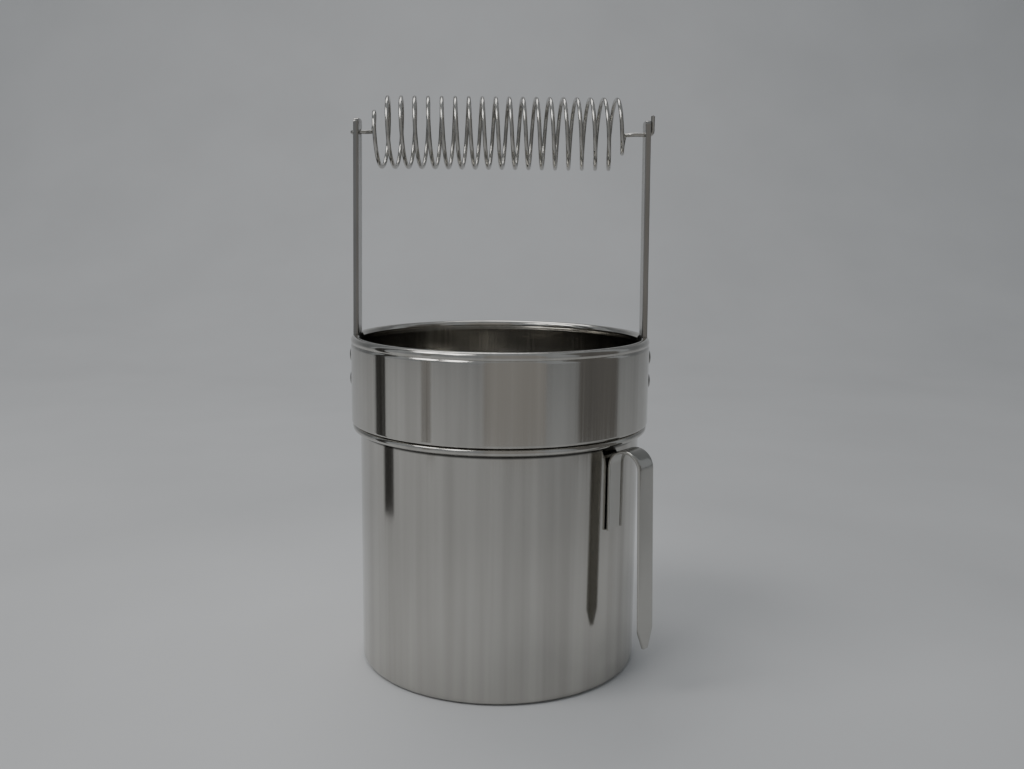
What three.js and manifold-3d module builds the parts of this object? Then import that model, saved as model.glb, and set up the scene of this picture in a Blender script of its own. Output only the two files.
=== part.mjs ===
// Nested spirit stove, stowed for carrying.
//
// A deep outer pot with a hairpin side handle holds a perforated burner stand, a brass spirit
// burner with its screw cap and a simmer regulator. A stepped inner pot hangs in the outer pot's
// mouth and carries a bail handle with a coiled wire grip. A lid with a folding ring drops into it.
//
// Millimetres, +Z up, origin at the centre of the outer pot's flat underside.

import * as THREE from 'three';
import { mergeVertices } from 'three/addons/utils/BufferGeometryUtils.js';
import Module from 'manifold-3d';

const wasm = await Module();
wasm.setup();

// ---------------------------------------------------------------- driving dimensions

const GAP = 0.3; // air between pieces that rest on each other

// Outer pot
const OUTER_R = 70.6; // outside of the straight wall
const OUTER_H = 123.3; // to the top of the rolled bead
const OUTER_WALL = 0.8;
const OUTER_FLOOR = 1.0;
const OUTER_CORNER = 3.0; // radius between wall and floor
const OUTER_BEAD_R = 1.8; // radius of the bead's round
const OUTER_BEAD_REACH = 3.9; // how far the bead stands out from the wall

// Side handle, a hairpin strap welded to the outer pot
const STRAP_AZIMUTH = -39; // degrees from +X
const STRAP_WIDTH = 12;
const STRAP_THICK = 1.5;
const STRAP_REACH = 17.9; // across the hairpin, outside to outside
const STRAP_SPLAY = 2.5; // how much further out the free leg's tip stands
const STRAP_TOP_DROP = 4.15; // hairpin's top below the outer pot's top
const STRAP_FOOT = 31; // straight length of the leg on the pot
const STRAP_GRIP = 86.2; // straight length of the free leg
const STRAP_TAPER = 9; // length of the pointed tip
const STRAP_TIP_WIDTH = 3.5;

// Inner pot
const POT_CLEARANCE = 3.8; // between the inner pot's lower wall and the outer pot's wall
const RIM_OVERHANG = 0.5; // upper wall beyond the outer pot's bead
const INNER_DROP = 43.6; // depth below the step
const INNER_RISE = 43.2; // height above the step
const INNER_WALL = 0.8;
const INNER_CORNER = 3.0;
const STEP_CORNER = 1.0; // round under the step's outer edge
const RIM_R = 2.3; // radius of the inward rolled rim

// Bail arms and their rivets
const ARM_WIDTH = 13;
const ARM_THICK = 2.6;
const ARM_RISE = 105.7; // above the inner pot's rim
const ARM_TAIL = 31; // below the inner pot's rim
const ARM_LEAN = 1.2; // how far the arms' tops lean towards each other
const ARM_CORNER = 2.5;
const ARM_NOTCH_SIDE = 0.5; // side room where an arm passes through the rolled rim
const ARM_NOTCH_BACK = 0.25;
const ARM_RIVET_DROPS = [11, 23]; // rivets below the rim
const RIVET_R = 1.6;
const RIVET_HOLE_R = 1.9;
const RIVET_HEAD_R = 3.6;
const RIVET_HEAD_H = 1.1;

// Coiled grip
const GRIP_WIRE_R = 1.0;
const GRIP_R = 17.7; // outside of the coil
const GRIP_TURNS = 19;
const GRIP_DROP = 6.5; // grip's axis below the top of the arms
const GRIP_TAIL_LEFT = 5.5; // straight wire between the coil and the left arm
const GRIP_TAIL_RIGHT = 9; // and the right arm
const GRIP_HOLE_R = 1.5;
const GRIP_HOOK = 9; // bent end outside each arm
const GRIP_HOOK_BEND = 1.9; // radius of that bend

// Lid, with its ring and saddle
const LID_SEAT = 3.6; // how far the lid laps over the step's inner edge
const LID_THICK = 0.8;
const LID_FLANGE = 6.3; // flat width around the raised middle
const LID_RISE = 5;
const LID_SLOPE = 4; // radial length of the slope up to the raised middle
const RING_WIRE_R = 1.5;
const RING_LENGTH = 34; // along the hinge bar, wire centre to wire centre
const RING_REACH = 26; // away from the hinge bar
const RING_CORNER = 7;
const SADDLE_WIDTH = 10;
const SADDLE_THICK = 1.0;
const SADDLE_FOOT = 8;
const SADDLE_CLEAR = 0.4; // between the ring's wire and the saddle
const SADDLE_RIVET_R = 1.2;
const SADDLE_RIVET_HEAD_R = 2.2;
const SADDLE_RIVET_HEAD_H = 0.8;

// Burner stand and its tray
const STAND_CLEARANCE = 10.8; // between the stand and the outer pot's wall
const STAND_HEADROOM = 2.7; // between the stand and the inner pot's floor
const STAND_WALL = 0.8;
const STAND_SEAT = 8; // width of the bottom flange
const STAND_MOUTH_CLEAR = 8; // mouth's radius beyond the burner's
const VENTS = 8; // in each of two rows
const LOW_VENT_R = 5.5;
const HIGH_VENT_R = 4;
const VENT_MARGIN = 9; // vent's edge to the stand's end
const TRAY_SIDE_GAP = 0.5;
const TRAY_THICK = 0.8;
const COLLAR_H = 4; // collar that locates the burner
const COLLAR_GAP = 0.4;
const TRAY_HOLES = 6;
const TRAY_HOLE_R = 4;

// Spirit burner
const BURNER_R = 36;
const BURNER_H = 42; // to the top of the neck
const BURNER_WALL = 0.8;
const BURNER_CORNER = 3;
const NECK_INSET = 5; // neck's radius less than the body's
const NECK_H = 7;
const SHOULDER_H = 5;
const JET_WALL_INSET = 8.2; // inner wall's radius less than the neck's
const JET_WALL_LIFT = 2; // inner wall's foot above the cup's underside
const JET_SKIRT_H = 6; // short skirt inside the neck
const JETS = 16;
const JET_R = 0.8;
const WICK_GAP = 0.5;
const WICK_H = 24;

// Burner cap and gasket
const CAP_THREAD_GAP = 0.6;
const CAP_WALL = 1.2;
const CAP_TOP = 1.0;
const CAP_SKIRT_LIFT = 1.5; // skirt's edge above the shoulder
const GASKET_WIDTH = 5;
const GASKET_H = 1.2;

// Simmer regulator
const REG_SIDE_GAP = 0.6;
const REG_THICK = 0.8;
const REG_SKIRT_H = 9;
const REG_HOLE_R = 14; // flame opening
const SHUTTER_LAP = 2.5; // shutter's radius beyond the opening's
const SHUTTER_PIVOT = 26; // pin's distance from the middle
const SHUTTER_EAR_R = 4;
const SHUTTER_TAB = 8; // finger tab beyond the shutter's edge
const SHUTTER_TAB_W = 7;
const PIN_R = 1.2;
const PIN_HOLE_R = 1.5;
const PIN_HEAD_R = 2.8;
const PIN_HEAD_H = 0.8;

// Facets
const ROUND = 40; // sides of the pots
const MEDIUM = 24; // sides of the burner's pieces
const SMALL = 8; // sides of rivets and holes
const WIRE_SIDES = 6;
const COIL_STEPS = 12; // per turn
const WELD = 1e-4;

// ---------------------------------------------------------------- places worked out from them

const beadEdgeR = OUTER_R + OUTER_BEAD_REACH;
const innerR = beadEdgeR + RIM_OVERHANG;
const innerBoreR = innerR - INNER_WALL;
const lowerR = OUTER_R - OUTER_WALL - POT_CLEARANCE;
const stepZ = OUTER_H + GAP;
const innerFloorZ = stepZ - INNER_DROP;
const rimZ = stepZ + INNER_RISE;
const armTopZ = rimZ + ARM_RISE;
const armOuterX = Math.sqrt(innerBoreR ** 2 - (ARM_WIDTH / 2) ** 2) - GAP;
const armInnerX = armOuterX - ARM_THICK;
const gripZ = armTopZ - GRIP_DROP;
const lidZ = stepZ + INNER_WALL + GAP;
const standR = OUTER_R - OUTER_WALL - STAND_CLEARANCE;
const standZ = OUTER_FLOOR + GAP;
const standH = innerFloorZ - STAND_HEADROOM - standZ;
const trayZ = standZ + STAND_WALL + GAP;
const burnerZ = trayZ + TRAY_THICK + GAP;
const neckR = BURNER_R - NECK_INSET;
const jetRoofZ = BURNER_H + GAP;
const gasketZ = jetRoofZ + BURNER_WALL + GAP;
const capUnderZ = gasketZ + GASKET_H + GAP;
const capTopZ = capUnderZ + CAP_TOP;
const capR = neckR + CAP_THREAD_GAP + CAP_WALL;
const regUnderZ = capTopZ + GAP + PIN_HEAD_H + GAP;
const shutterZ = regUnderZ + REG_THICK + GAP;
const shutterR = REG_HOLE_R + SHUTTER_LAP;

// ---------------------------------------------------------------- materials

function finish(color, roughness, metalness) {
  return new THREE.MeshStandardMaterial({ color, roughness, metalness });
}

const polished = finish(0x9c9a95, 0.14, 1);
const brushed = finish(0x8d8b87, 0.34, 1);
const wire = finish(0x7a7873, 0.25, 1);
const brass = finish(0xb39150, 0.3, 1);
const felt = finish(0xd9d2c0, 0.95, 0);
const rubber = finish(0x3a2f2a, 0.8, 0);

// ---------------------------------------------------------------- shape helpers

const point = (r, z) => new THREE.Vector2(r, z);
const radians = THREE.MathUtils.degToRad;

// Points along an arc, from one angle to another in degrees, ends included.
function arc(x, y, radius, from, to, steps) {
  const points = [];
  for (let i = 0; i <= steps; i += 1) {
    const angle = radians(from + ((to - from) * i) / steps);
    points.push(point(x + radius * Math.cos(angle), y + radius * Math.sin(angle)));
  }
  return points;
}

// Welds a closed geometry into a solid whose faces point out.
function solidOf(geometry) {
  geometry.deleteAttribute('normal');
  geometry.deleteAttribute('uv');
  const welded = mergeVertices(geometry, WELD);
  const corners = welded.getAttribute('position');
  const index = welded.getIndex().array;
  const faces = [];
  const [a, b, c] = [new THREE.Vector3(), new THREE.Vector3(), new THREE.Vector3()];
  let volume = 0;
  for (let i = 0; i < index.length; i += 3) {
    const [ia, ib, ic] = index.slice(i, i + 3);
    if (ia === ib || ib === ic || ic === ia) continue;
    faces.push([ia, ib, ic]);
    a.fromBufferAttribute(corners, ia);
    b.fromBufferAttribute(corners, ib);
    c.fromBufferAttribute(corners, ic);
    volume += a.dot(b.cross(c));
  }
  const outward = volume < 0 ? faces.map((face) => face.reverse()) : faces;
  return new wasm.Manifold(new wasm.Mesh({
    numProp: 3,
    vertProperties: new Float32Array(corners.array),
    triVerts: new Uint32Array(outward.flat()),
  }));
}

function geometryOf(solid) {
  const mesh = solid.getMesh();
  const geometry = new THREE.BufferGeometry();
  geometry.setAttribute('position', new THREE.BufferAttribute(mesh.vertProperties, 3));
  geometry.setIndex(new THREE.BufferAttribute(mesh.triVerts, 1));
  geometry.computeVertexNormals();
  return geometry;
}

// Turns a closed (r, z) outline about Z.
function lathe(outline, sides, closed = false) {
  const points = closed ? [...outline, outline[0].clone()] : outline;
  return solidOf(new THREE.LatheGeometry(points, sides).rotateX(Math.PI / 2));
}

// Extrudes an outline upwards from z = 0.
function plate(outline, thickness, holes = []) {
  const shape = new THREE.Shape(outline);
  shape.holes = holes.map((hole) => new THREE.Path(hole));
  const options = { depth: thickness, bevelEnabled: false, steps: 1 };
  return solidOf(new THREE.ExtrudeGeometry(shape, options));
}

function roundBar(radius, length, sides) {
  return lathe([point(0, 0), point(radius, 0), point(radius, length), point(0, length)], sides);
}

function block(x0, x1, y0, y1, z0, z1) {
  const box = new THREE.BoxGeometry(x1 - x0, y1 - y0, z1 - z0);
  return solidOf(box.translate((x0 + x1) / 2, (y0 + y1) / 2, (z0 + z1) / 2));
}

function circle(x, y, radius, sides) {
  return arc(x, y, radius, 0, 360 - 360 / sides, sides - 1);
}

// A rectangle with round corners, centred on (x, y).
function roundedBox(x, y, width, height, corner, steps) {
  const [dx, dy] = [width / 2 - corner, height / 2 - corner];
  return [
    ...arc(x + dx, y + dy, corner, 0, 90, steps),
    ...arc(x - dx, y + dy, corner, 90, 180, steps),
    ...arc(x - dx, y - dy, corner, 180, 270, steps),
    ...arc(x + dx, y - dy, corner, 270, 360, steps),
  ];
}

// A path that passes through its points at equal steps, so that a sweep keeps every one of them.
class WirePath extends THREE.CatmullRomCurve3 {
  getUtoTmapping(u) {
    return u;
  }
}

function sweptWire(points, radius, closed = false) {
  const path = new WirePath(points, closed, 'catmullrom', 0.5);
  const section = new THREE.Shape(circle(0, 0, radius, WIRE_SIDES));
  const steps = closed ? points.length : points.length - 1;
  return solidOf(new THREE.ExtrudeGeometry(section, { extrudePath: path, steps }));
}

// Stands an outline drawn in (y, z) up in the YZ plane, extruded towards +X.
const FACING_X = new THREE.Matrix4().makeBasis(
  new THREE.Vector3(0, 1, 0), new THREE.Vector3(0, 0, 1), new THREE.Vector3(1, 0, 0));
// Stands an outline drawn in (x, z) up in the XZ plane, extruded towards -Y.
const FACING_Y = new THREE.Matrix4().makeBasis(
  new THREE.Vector3(1, 0, 0), new THREE.Vector3(0, 0, 1), new THREE.Vector3(0, -1, 0));

function upright(solid, facing) {
  return solidOf(geometryOf(solid).applyMatrix4(facing));
}

// ---------------------------------------------------------------- the object

const stove = new THREE.Group();

function addPiece(parent, name, solid, material) {
  const mesh = new THREE.Mesh(geometryOf(solid), material);
  mesh.name = name;
  parent.add(mesh);
  return mesh;
}

function addGroup(parent, z = 0) {
  const group = new THREE.Group();
  group.position.z = z;
  parent.add(group);
  return group;
}

// ---- outer pot

function outerPot() {
  const bore = OUTER_R - OUTER_WALL;
  const beadX = beadEdgeR - OUTER_BEAD_R;
  const beadZ = OUTER_H - OUTER_BEAD_R;
  const underBead = arc(beadX, beadZ, OUTER_BEAD_R, -150, 90, 6);
  const innerCorner = OUTER_CORNER - OUTER_WALL;
  return lathe([
    point(0, 0),
    ...arc(OUTER_R - OUTER_CORNER, OUTER_CORNER, OUTER_CORNER, -90, 0, 2),
    point(OUTER_R, underBead[0].y),
    ...underBead,
    ...arc(bore + OUTER_BEAD_R, beadZ, OUTER_BEAD_R, 90, 180, 2),
    ...arc(bore - innerCorner, OUTER_FLOOR + innerCorner, innerCorner, 0, -90, 2),
    point(0, OUTER_FLOOR),
  ], ROUND);
}

addPiece(stove, 'outer_pot', outerPot(), polished);

// A strap bent into a hairpin, drawn in the plane through the pot's axis.
function sideHandle() {
  const bend = STRAP_REACH / 2;
  const footX = OUTER_R + GAP;
  const bendZ = OUTER_H - STRAP_TOP_DROP - bend;
  const centreX = footX + bend;
  const inner = bend - STRAP_THICK;
  const tipZ = bendZ - STRAP_GRIP;
  const outline = [
    point(footX, bendZ - STRAP_FOOT),
    ...arc(centreX, bendZ, bend, 180, 0, 10),
    point(centreX + bend + STRAP_SPLAY, tipZ),
    point(centreX + inner + STRAP_SPLAY, tipZ),
    ...arc(centreX, bendZ, inner, 0, 180, 10),
    point(centreX - inner, bendZ - STRAP_FOOT),
  ];
  let strap = upright(plate(outline, STRAP_WIDTH), FACING_Y);
  strap = strap.translate([0, STRAP_WIDTH / 2, 0]);
  for (const side of [-1, 1]) {
    const corner = [
      point((side * STRAP_WIDTH) / 2, tipZ + STRAP_TAPER),
      point((side * STRAP_TIP_WIDTH) / 2, tipZ),
      point((side * STRAP_TIP_WIDTH) / 2, tipZ - 1),
      point(side * (STRAP_WIDTH / 2 + 1), tipZ - 1),
      point(side * (STRAP_WIDTH / 2 + 1), tipZ + STRAP_TAPER),
    ];
    const wedge = upright(plate(side < 0 ? corner : corner.reverse(), 3 * STRAP_REACH), FACING_X);
    strap = strap.subtract(wedge.translate([OUTER_R - STRAP_REACH, 0, 0]));
  }
  return strap;
}

const strapGroup = addGroup(stove);
strapGroup.rotation.z = radians(STRAP_AZIMUTH);
addPiece(strapGroup, 'side_handle', sideHandle(), polished);

// ---- inner pot with its bail

function innerPot() {
  const boreCorner = INNER_CORNER - INNER_WALL;
  const lowerBore = lowerR - INNER_WALL;
  const rim = arc(innerR - RIM_R, rimZ - RIM_R, RIM_R, 0, 250, 7);
  const shell = lathe([
    point(0, innerFloorZ),
    ...arc(lowerR - INNER_CORNER, innerFloorZ + INNER_CORNER, INNER_CORNER, -90, 0, 2),
    point(lowerR, stepZ),
    ...arc(innerR - STEP_CORNER, stepZ + STEP_CORNER, STEP_CORNER, -90, 0, 2),
    ...rim,
    point(innerBoreR, rim.at(-1).y),
    point(innerBoreR, stepZ + INNER_WALL),
    point(lowerBore, stepZ + INNER_WALL),
    ...arc(lowerBore - boreCorner, innerFloorZ + INNER_WALL + boreCorner, boreCorner, 0, -90, 2),
    point(0, innerFloorZ + INNER_WALL),
  ], ROUND);
  const halfNotch = ARM_WIDTH / 2 + ARM_NOTCH_SIDE;
  let pot = shell;
  for (const side of [-1, 1]) {
    const [near, far] = [innerR - 3 * RIM_R, armOuterX + ARM_NOTCH_BACK];
    const [x0, x1] = side < 0 ? [-far, -near] : [near, far];
    pot = pot.subtract(block(x0, x1, -halfNotch, halfNotch, rimZ - 2.5 * RIM_R, rimZ + 1));
    for (const drop of ARM_RIVET_DROPS) {
      const bore = upright(roundBar(RIVET_HOLE_R, 4 * INNER_WALL, SMALL), FACING_X);
      const boreX = side * innerBoreR - 2 * INNER_WALL;
      pot = pot.subtract(bore.translate([boreX, 0, rimZ - drop]));
    }
  }
  return pot;
}

// A flat strip with round corners, a wire hole near its top and two rivet holes near its foot.
// Its inner face stands at x = 0 and leans inwards above the rim.
function bailArm() {
  const height = ARM_RISE + ARM_TAIL;
  const middle = rimZ + ARM_RISE - height / 2;
  const holes = [
    circle(0, gripZ, GRIP_HOLE_R, SMALL),
    ...ARM_RIVET_DROPS.map((drop) => circle(0, rimZ - drop, RIVET_HOLE_R, SMALL)),
  ];
  const outline = roundedBox(0, middle, ARM_WIDTH, height, ARM_CORNER, 3);
  const face = upright(plate(outline, ARM_THICK + 2 * ARM_LEAN, holes), FACING_X);
  const edge = upright(plate([
    point(0, rimZ - ARM_TAIL),
    point(ARM_THICK, rimZ - ARM_TAIL),
    point(ARM_THICK, rimZ),
    point(ARM_THICK - ARM_LEAN, armTopZ),
    point(-ARM_LEAN, armTopZ),
    point(0, rimZ),
  ], ARM_WIDTH), FACING_Y);
  return face.translate([-ARM_LEAN, 0, 0]).intersect(edge.translate([0, ARM_WIDTH / 2, 0]));
}

// A rivet along +Z: the far head is domed, the near head is flat, and the shank fills the grip.
function rivet(shankR, headR, headH, grip) {
  return lathe([
    point(0, -headH),
    point(headR - headH / 2, -headH),
    point(headR, -headH / 2),
    point(headR, 0),
    point(shankR, 0),
    point(shankR, grip),
    point(headR, grip),
    point(headR * 0.8, grip + headH * 0.7),
    point(headR * 0.4, grip + headH),
    point(0, grip + headH),
  ], SMALL);
}

// Wire from the left arm's hook, bent to the rear, along the axis, through the coil and out at the
// right arm, where its hook is bent up.
function gripPath() {
  const coilR = GRIP_R - GRIP_WIRE_R;
  const lean = (ARM_LEAN * (gripZ - rimZ)) / ARM_RISE;
  const coilLeft = GRIP_TAIL_LEFT - armInnerX + lean;
  const coilRight = armInnerX - lean - GRIP_TAIL_RIGHT;
  const hookX = armOuterX - lean + GRIP_WIRE_R + 2 * GAP;
  const path = [];
  const at = (x, y, z) => path.push(new THREE.Vector3(x, y, z));
  const bend = (side, steps) => {
    for (const i of steps) {
      const angle = (i * Math.PI) / 6;
      const x = hookX - GRIP_HOOK_BEND + GRIP_HOOK_BEND * Math.sin(angle);
      const turned = GRIP_HOOK_BEND * (1 - Math.cos(angle));
      at(side * x, side < 0 ? turned : 0, side < 0 ? 0 : turned);
    }
  };
  at(-hookX, GRIP_HOOK, 0);
  bend(-1, [3, 2, 1, 0]);
  at(coilLeft - GRIP_TAIL_LEFT / 2, 0, 0);
  const steps = GRIP_TURNS * COIL_STEPS;
  for (let i = 0; i <= steps; i += 1) {
    const x = coilLeft + ((coilRight - coilLeft) * i) / steps;
    const closing = Math.min(1, Math.min(i, steps - i) / (COIL_STEPS * 0.75));
    const r = coilR * Math.sin((closing * Math.PI) / 2);
    const angle = (i * 2 * Math.PI) / COIL_STEPS;
    if (r > GRIP_WIRE_R) at(x, r * Math.cos(angle), r * Math.sin(angle));
  }
  at(coilRight + GRIP_TAIL_RIGHT / 2, 0, 0);
  bend(1, [0, 1, 2, 3]);
  at(hookX, 0, GRIP_HOOK);
  return path;
}

addPiece(stove, 'inner_pot', innerPot(), polished);
for (const [sideName, side] of [['left', -1], ['right', 1]]) {
  const arm = addPiece(stove, `bail_arm_${sideName}`, bailArm(), brushed);
  arm.position.x = side * armInnerX;
  arm.rotation.z = side < 0 ? Math.PI : 0;
  for (const [i, drop] of ARM_RIVET_DROPS.entries()) {
    const name = `arm_rivet_${sideName}_${['upper', 'lower'][i]}`;
    const gripLength = innerR + GAP - (armInnerX - GAP);
    const solid = rivet(RIVET_R, RIVET_HEAD_R, RIVET_HEAD_H, gripLength);
    const mesh = addPiece(stove, name, solid, brushed);
    mesh.position.set(side * (armInnerX - GAP), 0, rimZ - drop);
    mesh.rotation.y = (side * Math.PI) / 2;
  }
}
const grip = addGroup(stove, gripZ);
addPiece(grip, 'grip_coil', sweptWire(gripPath(), GRIP_WIRE_R), wire);

// ---- lid with its folding ring

const ringZ = LID_RISE + LID_THICK + GAP + RING_WIRE_R;
const saddleReach = RING_WIRE_R + SADDLE_CLEAR + SADDLE_THICK;
const saddleRivetY = saddleReach + SADDLE_FOOT / 2;

function lid() {
  const edge = lowerR - INNER_WALL + LID_SEAT;
  const foot = edge - LID_FLANGE;
  let disc = lathe([
    point(0, LID_RISE),
    point(foot - LID_SLOPE, LID_RISE),
    point(foot, 0),
    point(edge, 0),
    point(edge, LID_THICK),
    point(foot + LID_THICK / 2, LID_THICK),
    point(foot - LID_SLOPE + LID_THICK / 2, LID_RISE + LID_THICK),
    point(0, LID_RISE + LID_THICK),
  ], ROUND);
  for (const side of [-1, 1]) {
    const hole = roundBar(SADDLE_RIVET_R + GAP, 4 * LID_THICK, SMALL);
    disc = disc.subtract(hole.translate([0, side * saddleRivetY, LID_RISE - LID_THICK]));
  }
  return disc;
}

// A strap over the ring's bar, with a flat foot on each side.
function saddle() {
  const outer = saddleReach;
  const inner = outer - SADDLE_THICK;
  const footZ = LID_RISE + LID_THICK + GAP;
  const outline = [
    point(outer + SADDLE_FOOT, footZ),
    point(outer + SADDLE_FOOT, footZ + SADDLE_THICK),
    point(outer, footZ + SADDLE_THICK),
    ...arc(0, ringZ, outer, 0, 180, 8),
    point(-outer, footZ + SADDLE_THICK),
    point(-outer - SADDLE_FOOT, footZ + SADDLE_THICK),
    point(-outer - SADDLE_FOOT, footZ),
    point(-inner, footZ),
    ...arc(0, ringZ, inner, 180, 0, 8),
    point(inner, footZ),
  ];
  let strap = upright(plate(outline, SADDLE_WIDTH), FACING_X);
  strap = strap.translate([-SADDLE_WIDTH / 2, 0, 0]);
  for (const side of [-1, 1]) {
    const hole = roundBar(SADDLE_RIVET_R + GAP, 4 * SADDLE_THICK, SMALL);
    strap = strap.subtract(hole.translate([0, side * saddleRivetY, footZ - SADDLE_THICK]));
  }
  return strap;
}

// A closed wire loop with round corners; its hinge bar lies along X under the saddle.
function ringLoop() {
  const loop = roundedBox(0, -RING_REACH / 2, RING_LENGTH, RING_REACH, RING_CORNER, 4);
  return sweptWire(loop.map((p) => new THREE.Vector3(p.x, p.y, 0)), RING_WIRE_R, true);
}

const lidGroup = addGroup(stove, lidZ);
addPiece(lidGroup, 'lid', lid(), polished);
addPiece(lidGroup, 'ring_saddle', saddle(), brushed);
addPiece(lidGroup, 'lid_ring', ringLoop(), wire).position.z = ringZ;
for (const [name, side] of [['front', -1], ['rear', 1]]) {
  const under = LID_RISE - GAP;
  const over = LID_RISE + LID_THICK + GAP + SADDLE_THICK + GAP;
  const solid = rivet(SADDLE_RIVET_R, SADDLE_RIVET_HEAD_R, SADDLE_RIVET_HEAD_H, over - under);
  addPiece(lidGroup, `saddle_rivet_${name}`, solid, brushed)
    .position.set(0, side * saddleRivetY, under);
}

// ---- burner stand

// Bars that point outwards from the Z axis, to cut a ring of round holes.
function radialBars(radius, count, length, z) {
  let bars = null;
  for (let i = 0; i < count; i += 1) {
    const bar = upright(roundBar(radius, length, SMALL), FACING_X);
    const turned = bar.translate([length / 2, 0, z]).rotate([0, 0, (360 * (i + 0.5)) / count]);
    bars = bars ? bars.add(turned) : turned;
  }
  return bars;
}

function stand() {
  const bore = standR - STAND_WALL;
  const mouth = BURNER_R + STAND_MOUTH_CLEAR;
  const shell = lathe([
    point(bore - STAND_SEAT, 0),
    point(standR, 0),
    point(standR, standH),
    point(mouth, standH),
    point(mouth, standH - STAND_WALL),
    point(bore, standH - STAND_WALL),
    point(bore, STAND_WALL),
    point(bore - STAND_SEAT, STAND_WALL),
  ], ROUND, true);
  const low = radialBars(LOW_VENT_R, VENTS, standR, VENT_MARGIN + LOW_VENT_R);
  const high = radialBars(HIGH_VENT_R, VENTS, standR, standH - VENT_MARGIN - HIGH_VENT_R);
  return shell.subtract(low).subtract(high);
}

// A disc on the stand's bottom flange, with a collar for the burner and air holes around it.
function tray() {
  const edge = standR - STAND_WALL - TRAY_SIDE_GAP;
  const collarR = BURNER_R + COLLAR_GAP;
  let disc = lathe([
    point(0, 0),
    point(edge, 0),
    point(edge, TRAY_THICK),
    point(collarR + TRAY_THICK, TRAY_THICK),
    point(collarR + TRAY_THICK, TRAY_THICK + COLLAR_H),
    point(collarR, TRAY_THICK + COLLAR_H),
    point(collarR, TRAY_THICK),
    point(0, TRAY_THICK),
  ], MEDIUM);
  const holeCircle = (collarR + TRAY_THICK + standR - STAND_WALL - STAND_SEAT) / 2;
  for (let i = 0; i < TRAY_HOLES; i += 1) {
    const angle = (2 * Math.PI * i) / TRAY_HOLES;
    const hole = roundBar(TRAY_HOLE_R, 4 * TRAY_THICK, SMALL);
    const [x, y] = [holeCircle * Math.cos(angle), holeCircle * Math.sin(angle)];
    disc = disc.subtract(hole.translate([x, y, -TRAY_THICK]));
  }
  return disc;
}

addPiece(addGroup(stove, standZ), 'burner_stand', stand(), brushed);
addPiece(addGroup(stove, trayZ), 'burner_tray', tray(), brushed);

// ---- spirit burner; heights are from its own underside

const shoulderZ = BURNER_H - NECK_H - SHOULDER_H;

function burnerCup() {
  const bore = BURNER_R - BURNER_WALL;
  const innerCorner = BURNER_CORNER - BURNER_WALL;
  return lathe([
    point(0, 0),
    ...arc(BURNER_R - BURNER_CORNER, BURNER_CORNER, BURNER_CORNER, -90, 0, 2),
    point(BURNER_R, shoulderZ),
    point(neckR, BURNER_H - NECK_H),
    point(neckR, BURNER_H),
    point(neckR - BURNER_WALL, BURNER_H),
    point(neckR - BURNER_WALL, BURNER_H - NECK_H - BURNER_WALL / 2),
    point(bore, shoulderZ - BURNER_WALL / 2),
    ...arc(bore - innerCorner, BURNER_CORNER, innerCorner, 0, -90, 2),
    point(0, BURNER_WALL),
  ], MEDIUM);
}

// The inner wall, its roof over the neck with a ring of jets, and a short skirt inside the neck.
function jetRing() {
  const wallR = neckR - JET_WALL_INSET;
  const skirtR = neckR - BURNER_WALL - GAP;
  let ring = lathe([
    point(wallR - BURNER_WALL, JET_WALL_LIFT),
    point(wallR, JET_WALL_LIFT),
    point(wallR, jetRoofZ),
    point(skirtR - BURNER_WALL, jetRoofZ),
    point(skirtR - BURNER_WALL, jetRoofZ - JET_SKIRT_H),
    point(skirtR, jetRoofZ - JET_SKIRT_H),
    point(skirtR, jetRoofZ),
    point(neckR, jetRoofZ),
    point(neckR, jetRoofZ + BURNER_WALL),
    point(wallR - BURNER_WALL, jetRoofZ + BURNER_WALL),
  ], MEDIUM, true);
  const jetCircle = (wallR + skirtR - BURNER_WALL) / 2;
  for (let i = 0; i < JETS; i += 1) {
    const angle = (2 * Math.PI * i) / JETS;
    const jet = roundBar(JET_R, 4 * BURNER_WALL, WIRE_SIDES);
    const [x, y] = [jetCircle * Math.cos(angle), jetCircle * Math.sin(angle)];
    ring = ring.subtract(jet.translate([x, y, jetRoofZ - BURNER_WALL]));
  }
  return ring;
}

function flatRing(inner, outer, bottom, top) {
  const outline = [point(inner, bottom), point(outer, bottom), point(outer, top), point(inner, top)];
  return lathe(outline, MEDIUM, true);
}

function burnerCap() {
  const bore = capR - CAP_WALL;
  const skirtZ = BURNER_H - NECK_H + CAP_SKIRT_LIFT;
  return lathe([
    point(0, capUnderZ),
    point(bore, capUnderZ),
    point(bore, skirtZ),
    point(capR, skirtZ),
    point(capR, capTopZ - CAP_TOP),
    point(capR - CAP_TOP, capTopZ),
    point(0, capTopZ),
  ], MEDIUM);
}

const burner = addGroup(stove, burnerZ);
addPiece(burner, 'burner_cup', burnerCup(), brass);
addPiece(burner, 'burner_jet_ring', jetRing(), brass);
const wickInner = neckR - JET_WALL_INSET + WICK_GAP;
const wickOuter = BURNER_R - BURNER_WALL - WICK_GAP;
const wickZ = BURNER_CORNER;
addPiece(burner, 'burner_wick', flatRing(wickInner, wickOuter, wickZ, wickZ + WICK_H), felt);
addPiece(burner, 'burner_cap', burnerCap(), brass);
const gasket = flatRing(neckR - GASKET_WIDTH, neckR, gasketZ, gasketZ + GASKET_H);
addPiece(burner, 'cap_gasket', gasket, rubber);

// ---- simmer regulator, laid over the cap

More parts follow.
